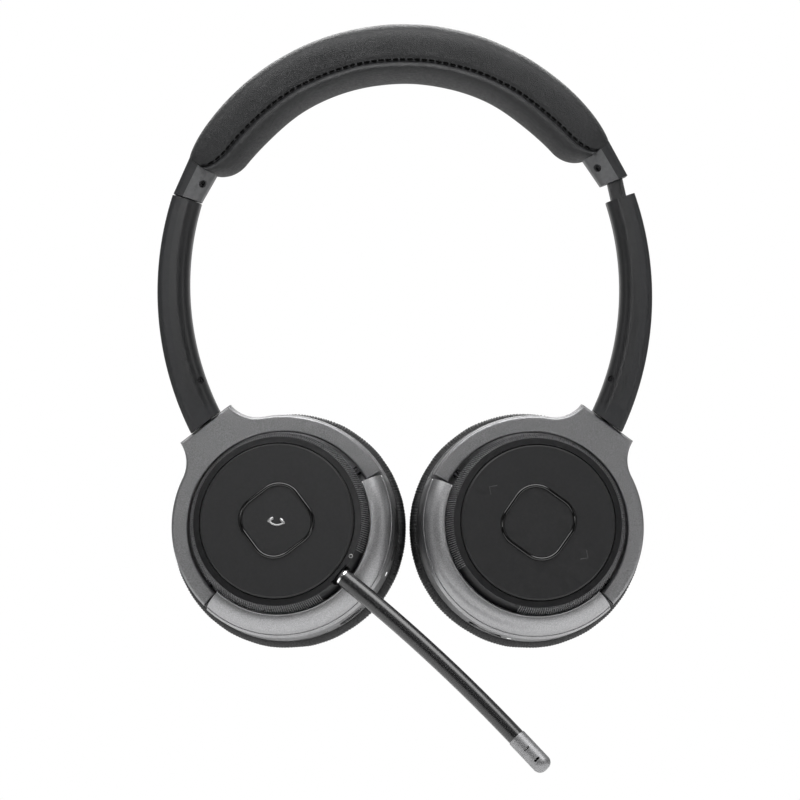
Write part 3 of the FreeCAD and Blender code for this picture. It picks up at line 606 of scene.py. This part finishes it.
def pad_section(angle):
    """The pad at an angle from the vertical: inner point, outward direction, thickness, half width."""
    turn = math.radians(angle)
    inner = Vector((PAD_INNER_RADIUS * math.sin(turn), 0, PAD_INNER_RADIUS * (math.cos(turn) - 1)))
    drop = PAD_THICKNESS - PAD_OUTER_RADIUS
    outer = Vector((PAD_OUTER_RADIUS * math.sin(turn), 0, drop + PAD_OUTER_RADIUS * math.cos(turn)))
    out = (outer - inner).normalized()
    rounding = pad_rounding(angle)
    sag = PAD_SAG * math.exp(-((abs(angle) - PAD_SAG_ANGLE) / PAD_SAG_SPREAD) ** 2)
    outer = outer - out * PAD_DRAW_IN[0] * rounding
    inner = inner + out * (PAD_DRAW_IN[1] * rounding - sag)
    share = abs(angle) / PAD_END_ANGLE
    half = PAD_HALF_TOP - (PAD_HALF_TOP - PAD_HALF_END) * share ** 2 - PAD_DRAW_IN[2] * rounding
    return inner, out, (outer - inner).length, half


def seam_height(angle, thickness):
    """The seam's height above the pad's inner face; it climbs towards the ends."""
    climb = SEAM_CLIMB * (angle / SEAM_CLIMB_ANGLE) ** 2 + SEAM_END_CLIMB * pad_rounding(angle)
    return thickness * (SEAM_SHARE + climb)


def pad_point(angle, turn):
    """A point on the pad: turn goes round the section, with the seams at 0 and pi."""
    inner, out, thickness, half = pad_section(angle)
    seam = seam_height(angle, thickness)
    rise = math.sin(turn)
    reach = math.cos(turn)
    front = 1 if reach >= 0 else -1
    if rise >= 0:
        power = UPPER_POWER
        lift = (thickness - seam) * rise ** power
        bulge = 0.0
    else:
        power = LOWER_POWER
        lift = -seam * (-rise) ** power
        bulge = LOWER_BULGE * math.sin(-rise * math.pi)
    width = (half + bulge) * abs(reach) ** power
    width = width - SEAM_DEPTH * math.exp(-(lift / SEAM_SPREAD) ** 2)
    point = inner + out * (seam + lift) + Vector((0, front * max(width, 0.0), 0))
    near_seam = math.exp(-(lift / PUCKER_SPREAD) ** 2)
    pucker = noise.noise(point * PUCKER_SCALE) * PUCKER_HEIGHT * near_seam
    ripple = noise.noise(point * RIPPLE_SCALE) * RIPPLE_HEIGHT
    return point + Vector((0, front * (pucker + ripple), 0)) + out * ripple * RIPPLE_LIFT


def headband_pad():
    """The leatherette pad: a flatter upper panel and a fuller lower cushion, sewn together."""
    points = []
    for station in range(PAD_STATIONS + 1):
        share = 2 * station / PAD_STATIONS - 1
        angle = PAD_END_ANGLE * math.sin(share * PAD_END_CROWDING) / math.sin(PAD_END_CROWDING)
        for step in range(PAD_AROUND):
            turn = 2 * math.pi * step / PAD_AROUND
            points.append(pad_point(angle, turn - PAD_SEAM_CROWDING * math.sin(2 * turn)))
    faces = []
    add_tube_faces(faces, 0, PAD_STATIONS + 1, PAD_AROUND)
    pad = add_piece("headband_pad", points, faces, "leatherette", "headband")
    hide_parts("headband_cover", "headband_foam")


def stitch_point(angle, front):
    """A point on the upper panel, just above the seam."""
    thickness = pad_section(angle)[2]
    upper = thickness - seam_height(angle, thickness)
    turn = math.asin((STITCH_RISE / upper) ** (1 / UPPER_POWER))
    return pad_point(angle, math.pi - turn if front else turn)


def pad_stitching(front):
    """Thread along a seam, one short stitch after another."""
    pitch = math.degrees(STITCH_PITCH / (PAD_INNER_RADIUS + SEAM_SHARE * PAD_THICKNESS))
    half_stitch = pitch * STITCH_LENGTH / STITCH_PITCH / 2
    count = int(PAD_END_ANGLE * STITCH_REACH / pitch)
    crown = Vector((0, -STITCH_CROWN if front else STITCH_CROWN, 0))
    points = []
    faces = []
    for index in range(-count, count + 1):
        path = [stitch_point(index * pitch + part * half_stitch, front) for part in (-1, 0, 1)]
        path[1] = path[1] + crown
        add_rod(points, faces, path, STITCH_RADIUS, sides=6)
    name = "pad_stitching_front" if front else "pad_stitching_back"
    add_piece(name, points, faces, "thread", "headband")


# Ear cushions


def cushion_section(turn):
    """The cushion's outline as radius and z; turn runs from the plate's outer edge round to its hole."""
    middle = (CUSHION_RADIUS + CUSHION_HOLE) / 2
    half = (CUSHION_RADIUS - CUSHION_HOLE) / 2
    reach = math.cos(turn)
    radius = middle + half * math.copysign(abs(reach) ** CUSHION_SIDE_POWER, reach)
    height = CUSHION_TOP - (CUSHION_TOP - CUSHION_BACK) * math.sin(turn) ** CUSHION_BACK_POWER
    return radius, height


def cushion_point(side, row, step):
    """A point of the cushion: row goes from the outer edge to the hole, step round the cup."""
    turn = math.pi * row / (CUSHION_ROWS - 1)
    radius, height = cushion_section(turn)
    outward = 1 if turn < math.pi / 2 else -1
    edge = abs(math.cos(turn)) ** FOLD_FADE
    tuck = TUCK_DEPTH * math.exp(-((height - CUSHION_TOP) / TUCK_SPREAD) ** 2)
    degrees = 360 * step / CUSHION_AROUND
    spot = on_circle(1.0, 90 + degrees, 0)
    wander = noise.noise(spot * WANDER_SCALE) * WANDER
    drift = noise.noise(spot * DRIFT_SCALE + Vector((0, 0, row * DRIFT_STEP)))
    fold = math.sin(math.radians(degrees) * FOLD_COUNT + wander + drift)
    lump = noise.noise(spot * LUMP_SCALE + Vector((0, 0, row * LUMP_STEP)))
    gather = FOLD_HEIGHT * (1 + FOLD_UNEVEN * noise.noise(spot * FOLD_UNEVEN_SCALE))
    reach = radius + outward * (gather * fold * edge + LUMP_HEIGHT * lump + CUSHION_SWELL - tuck)
    return CUPS[side] @ Vector((reach * spot.x, reach * spot.y, height - LUMP_LIFT * lump))


def unroll_cushion(mesh):
    """Lays the cushion's faces out flat, U round the cup and V across the rows."""
    layer = mesh.uv_layers.new(name="folds")
    for polygon in mesh.polygons:
        columns = [mesh.loops[loop].vertex_index % CUSHION_AROUND for loop in polygon.loop_indices]
        wraps = max(columns) - min(columns) > 1
        for loop, column in zip(polygon.loop_indices, columns):
            row = mesh.loops[loop].vertex_index // CUSHION_AROUND
            past = CUSHION_AROUND if wraps and column == 0 else 0
            layer.data[loop].uv = ((column + past) / CUSHION_AROUND, row / CUSHION_ROWS)


def ear_cushion(side):
    """A soft ring, gathered in fine folds at its outer edge and round its hole."""
    points = []
    for row in range(CUSHION_ROWS):
        for step in range(CUSHION_AROUND):
            points.append(cushion_point(side, row, step))
    faces = grid_faces(CUSHION_ROWS, CUSHION_AROUND, wrap_rows=True)
    piece = add_piece("soft_cushion_" + side, points, faces, "cushion_leatherette", "cup_" + side)
    unroll_cushion(piece.data)
    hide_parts("ear_cushion_" + side)


# Knurled rings, lips, symbols and pinholes on the cups, some with painted highlights and painted shade


def ridge(points, faces, place):
    """One ridge down the ring's cone, fading in at the top."""
    slope = RING_FOOT - RING_TOP
    out = Vector((-slope.z, 0, slope.x)).normalized()
    first = len(points)
    for share, height in RIDGE_STATIONS:
        spot = RING_TOP + slope * share
        for across, lift in RIDGE_SECTION:
            side = Vector((0, across * RIDGE_HALF_WIDTH, 0))
            points.append(place @ (spot + out * RIDGE_HEIGHT * lift * height + side))
    add_tube_faces(faces, first, len(RIDGE_STATIONS), len(RIDGE_SECTION))


def knurl(side):
    """Fine ridges all round the ring, but for a smooth stretch beside the boom; their lighter plastic is a painted
    highlight on their tops.
    """
    middle, half = SMOOTH_STRETCH[side]
    points = []
    faces = []
    for index in range(RIDGE_COUNT):
        degrees = 360.0 * index / RIDGE_COUNT
        if abs((degrees - middle + 180) % 360 - 180) > half:
            ridge(points, faces, CUPS[side] @ Matrix.Rotation(math.radians(degrees), 4, "Z"))
    body = "boom" if side == "left" else "volume_ring"
    add_piece("knurl_" + side, points, faces, "painted_highlight_ridge_plastic", body, smooth=False)


def arc_bead(name, side, spot, radius):
    """A fine rounded edge along the bowl's open arc."""
    points = []
    faces = []
    start, end = BOWL_ARC
    path = []
    for step in range(BOWL_STEPS + 1):
        degrees = start + (end - start) * step / BOWL_STEPS
        path.append(CUPS[side] @ on_circle(spot.x, degrees, spot.z))
    add_rod(points, faces, path, radius)
    add_piece(name, points, faces, "gunmetal", "cup_" + side)


def rounded_square_path(half, corner, z):
    """A square with round corners: half its width, the corners' radius and its height."""
    path = []
    for quarter in range(4):
        centre_x = (half - corner) * (1 if quarter in (0, 3) else -1)
        centre_y = (half - corner) * (1 if quarter in (0, 1) else -1)
        for step in range(CORNER_STEPS + 1):
            spot = on_circle(corner, 90 * quarter + 90 * step / CORNER_STEPS, z)
            path.append(spot + Vector((centre_x, centre_y, 0)))
    return path


def bezel(side):
    """The gloss frame round the centre button, rounded on top."""
    half = BUTTON_HALF + BEZEL_MIDDLE
    corner = BUTTON_CORNER + BEZEL_MIDDLE
    path = [CUPS[side] @ spot for spot in rounded_square_path(half, corner, FACE_Z - BEZEL_SINK)]
    points = []
    faces = []
    add_rod(points, faces, path, BEZEL_RADIUS, sides=12, closed=True)
    piece = add_piece("bezel_" + side, points, faces, "gloss_black", "cup_" + side)
    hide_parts("button_bezel_" + side)


def strokes(name, side, body, paths, radius, material):
    """Rounded lines lying in the face, each a list of points."""
    points = []
    faces = []
    for path in paths:
        spots = [CUPS[side] @ Vector((x, y, FACE_Z - radius * STROKE_SINK)) for x, y in path]
        add_rod(points, faces, spots, radius, sides=6)
    add_piece(name, points, faces, material, body)


def arc_points(x, y, radius, start, end, steps=10):
    """Points along an arc round a centre, from a start to an end in degrees."""
    angles = [math.radians(start + (end - start) * step / steps) for step in range(steps + 1)]
    return [(x + radius * math.cos(a), y + radius * math.sin(a)) for a in angles]


def call_symbol():
    """A generic telephone handset on the call button: a curved handle with its ends turned in, in painted
    highlight grey over the button's black.
    """
    handle = arc_points(HANDLE_CENTRE, HANDLE_CENTRE, HANDLE_RADIUS, start=180, end=270)
    strokes("call_handle", "left", "call_button", [handle], HANDLE_STROKE, "painted_highlight_grey")
    ends = []
    for (x, y), (along_x, along_y) in ((handle[0], (1, 0)), (handle[-1], (0, 1))):
        ends.append([(x, y), (x + along_x * HANDLE_END, y + along_y * HANDLE_END)])
    strokes("call_ends", "left", "call_button", ends, HANDLE_END_STROKE, "painted_highlight_grey")


def skip_symbols():
    """Faint chevrons at two sides of the right-hand button."""
    paths = []
    for hand in (-1, 1):
        tip = hand * CHEVRON_REACH
        foot = tip - hand * CHEVRON_SIZE
        paths.append([(foot, CHEVRON_SIZE), (tip, 0.0), (foot, -CHEVRON_SIZE)])
    strokes("skip_symbols", "right", "cup_right", paths, CHEVRON_STROKE, "rail_plastic")


def small_hole(name, side, body, place):
    """A pinhole: a black plug of painted shade, ringed by a fine raised edge whose grey is a painted highlight."""
    degrees, spot, way, radius = place
    turn = CUPS[side] @ Matrix.Rotation(math.radians(degrees), 4, "Z")
    across = Vector((0, 1, 0))
    other = way.cross(across)
    edge = []
    for step in range(HOLE_STEPS):
        angle = 2 * math.pi * step / HOLE_STEPS
        edge.append(turn @ (spot + (across * math.cos(angle) + other * math.sin(angle)) * radius))
    points = []
    faces = []
    add_rod(points, faces, edge, radius * HOLE_EDGE, sides=6, closed=True)
    add_piece(name, points, faces, "painted_highlight_grey", body)
    # A black plug of painted shade stands for the hole's dark inside.
    points = []
    faces = []
    path = [turn @ (spot - way * HOLE_DEPTH), turn @ (spot + way * HOLE_PROUD)]
    add_rod(points, faces, path, radius * HOLE_FILLING, sides=12)
    add_piece(name + "_dark", points, faces, "painted_shade_black", body)


# Stage


def studio():
    """A pale floor well below the headset, and a surround that the camera sees as white."""
    low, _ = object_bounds()
    mesh = bpy.data.meshes.new("floor")
    disc = bmesh.new()
    bmesh.ops.create_circle(disc, cap_ends=True, segments=FLOOR_SEGMENTS, radius=FLOOR_RADIUS)
    disc.to_mesh(mesh)
    disc.free()
    floor = bpy.data.objects.new("floor", mesh)
    floor.location = (0, FLOOR_MIDDLE, low.z - FLOOR_DROP)
    bpy.context.scene.collection.objects.link(floor)
    shade = Shader("floor_white", (0.9, 0.9, 0.9), 0.7)
    shade.vary_colour(shade.noise(scale=8.0), low=0.99, high=1.01)
    mesh.materials.append(shade.material)
    floor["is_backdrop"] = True

    world = bpy.data.worlds.new("studio")
    world.use_nodes = True
    nodes = world.node_tree.nodes
    links = world.node_tree.links
    split = nodes.new("ShaderNodeSeparateXYZ")
    links.new(nodes.new("ShaderNodeTexCoord").outputs["Generated"], split.inputs[0])
    depth = map_range(world.node_tree, split.outputs["Y"], -WORLD_BLEND, WORLD_BLEND,
                      WORLD_FRONT, WORLD_BACK)
    pick = nodes.new("ShaderNodeMix")
    pick.inputs[3].default_value = 1.0
    links.new(nodes.new("ShaderNodeLightPath").outputs["Is Camera Ray"], pick.inputs[0])
    links.new(depth, pick.inputs[2])
    nodes["Background"].inputs["Color"].default_value = (1.0, 1.0, 1.0, 1.0)
    links.new(pick.outputs[0], nodes["Background"].inputs["Strength"])
    bpy.context.scene.world = world
    bpy.context.scene.view_settings.view_transform = "Standard"


def lights():
    """One rectangular lamp for each row of LIGHTS."""
    for name, (place, target, width, height, power, spread) in LIGHTS.items():
        lamp = bpy.data.lights.new(name, "AREA")
        lamp.shape = "RECTANGLE"
        lamp.size = width
        lamp.size_y = height
        lamp.energy = power
        lamp.spread = math.radians(spread)
        lamp_object = bpy.data.objects.new(name, lamp)
        lamp_object.location = place
        aim = Vector(target) - Vector(place)
        lamp_object.rotation_euler = aim.to_track_quat("-Z", "Y").to_euler()
        bpy.context.scene.collection.objects.link(lamp_object)


def camera():
    """The camera, rolled to match the headset's lean."""
    lens = bpy.data.cameras.new("camera")
    lens.sensor_width = SENSOR
    lens.lens = SENSOR * CAMERA_DISTANCE / VIEW_WIDTH
    lens.clip_start = CLIP_START
    view = bpy.data.objects.new("camera", lens)
    right = Vector((math.cos(VIEW_ROLL), 0, -math.sin(VIEW_ROLL)))
    up = Vector((math.sin(VIEW_ROLL), 0, math.cos(VIEW_ROLL)))
    back = Vector((0, -1, 0))
    turn = Matrix((right, up, back)).transposed().to_4x4()
    turn.translation = VIEW_CENTRE + back * CAMERA_DISTANCE
    view.matrix_world = turn
    bpy.context.scene.collection.objects.link(view)
    bpy.context.scene.camera = view


CUPS = {side: cup_frame(side) for side in ("left", "right")}

camera()
studio()
lights()
dress_cad_nodes()
headband_pad()
for front in (True, False):
    pad_stitching(front)
for side in ("left", "right"):
    ear_cushion(side)
    knurl(side)
    bezel(side)
    arc_bead("bowl_lip_" + side, side, LIP, LIP_RADIUS)
    arc_bead("bowl_crease_" + side, side, BOWL_EDGE, BOWL_EDGE_RADIUS)
call_symbol()
skip_symbols()
small_hole("ring_mark", "left", "boom", RING_MARK)
small_hole("rim_mic", "left", "cup_left", RIM_MIC)
